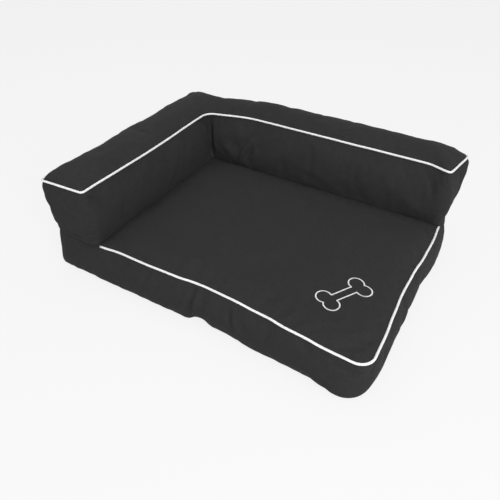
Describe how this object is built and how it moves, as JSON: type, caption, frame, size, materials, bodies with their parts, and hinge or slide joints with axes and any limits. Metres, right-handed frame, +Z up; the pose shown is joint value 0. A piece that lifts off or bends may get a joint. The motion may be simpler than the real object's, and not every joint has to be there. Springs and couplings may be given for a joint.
{
  "type": "dog sofa bed",
  "caption": "Rectangular padded dog bed with a foam mattress and an L-shaped bolster along one end and the back, covered in piped canvas with zipped covers.",
  "frame": {"origin": "on the floor, under the middle of the mattress", "axes": "+X along the front from the bolster's left arm to the open end, +Y from the front to the back arm, +Z up"},
  "size_m": [0.8183, 0.6436, 0.27],
  "materials": {
    "cover_canvas": "charcoal woven polyester canvas, matt with a slight sheen",
    "underside_cloth": "black woven cloth with small anti-slip dots",
    "piping_tape": "white bias-cut cotton tape",
    "piping_cord": "twisted white cotton filler cord",
    "foam": "open-cell polyurethane foam",
    "fibre_filling": "white polyester fibre",
    "zip_tape": "black woven zip tape",
    "zip_coil": "black nylon coil",
    "zip_metal": "black enamelled zinc"
  },
  "bodies": {
    "root": {"underside_panel": "underside_cloth", "mattress_side_band": "cover_canvas", "mattress_back_band_upper": "cover_canvas", "mattress_back_band_lower": "cover_canvas", "seat_panel": "cover_canvas", "seat_piping_tape": "piping_tape", "seat_piping_cord": "piping_cord", "mattress_foam": "foam", "seat_wadding": "fibre_filling", "bolster_floor_panel": "cover_canvas", "bolster_inner_left_band": "cover_canvas", "bolster_inner_back_band": "cover_canvas", "bolster_outer_left_band": "cover_canvas", "bolster_back_band_upper": "cover_canvas", "bolster_back_band_lower": "cover_canvas", "bolster_top_panel": "cover_canvas", "bolster_piping_tape": "piping_tape", "bolster_piping_cord": "piping_cord", "bolster_left_filling": "fibre_filling", "bolster_back_filling": "fibre_filling", "mattress_zip_tape_upper": "zip_tape", "mattress_zip_tape_lower": "zip_tape", "mattress_zip_coil_upper": "zip_coil", "mattress_zip_coil_lower": "zip_coil", "mattress_zip_stops": "zip_metal", "bolster_zip_tape_upper": "zip_tape", "bolster_zip_tape_lower": "zip_tape", "bolster_zip_coil_upper": "zip_coil", "bolster_zip_coil_lower": "zip_coil", "bolster_zip_stops": "zip_metal"},
    "mattress_zip_slider_body": {"mattress_zip_slider": "zip_metal"},
    "mattress_zip_pull_body": {"mattress_zip_pull": "zip_metal"},
    "bolster_zip_slider_body": {"bolster_zip_slider": "zip_metal"},
    "bolster_zip_pull_body": {"bolster_zip_pull": "zip_metal"}
  },
  "joints": [
    {"name": "mattress_zip_slide", "type": "slide", "parent": "root", "child": "mattress_zip_slider_body", "axis": [1, 0, 0], "range_m": [0, 0.6214]},
    {"name": "mattress_zip_pull_swing", "type": "hinge", "parent": "mattress_zip_slider_body", "child": "mattress_zip_pull_body", "pos_m": [-0.3107, 0.3027, 0.054], "axis": [0, 0, 1], "range_deg": [0, 175]},
    {"name": "bolster_zip_slide", "type": "slide", "parent": "root", "child": "bolster_zip_slider_body", "axis": [1, 0, 0], "range_m": [0, 0.5414]},
    {"name": "bolster_zip_pull_swing", "type": "hinge", "parent": "bolster_zip_slider_body", "child": "bolster_zip_pull_body", "pos_m": [-0.2707, 0.30995, 0.14246], "axis": [0, 0.1988, 0.9801], "range_deg": [0, 175]}
  ]
}
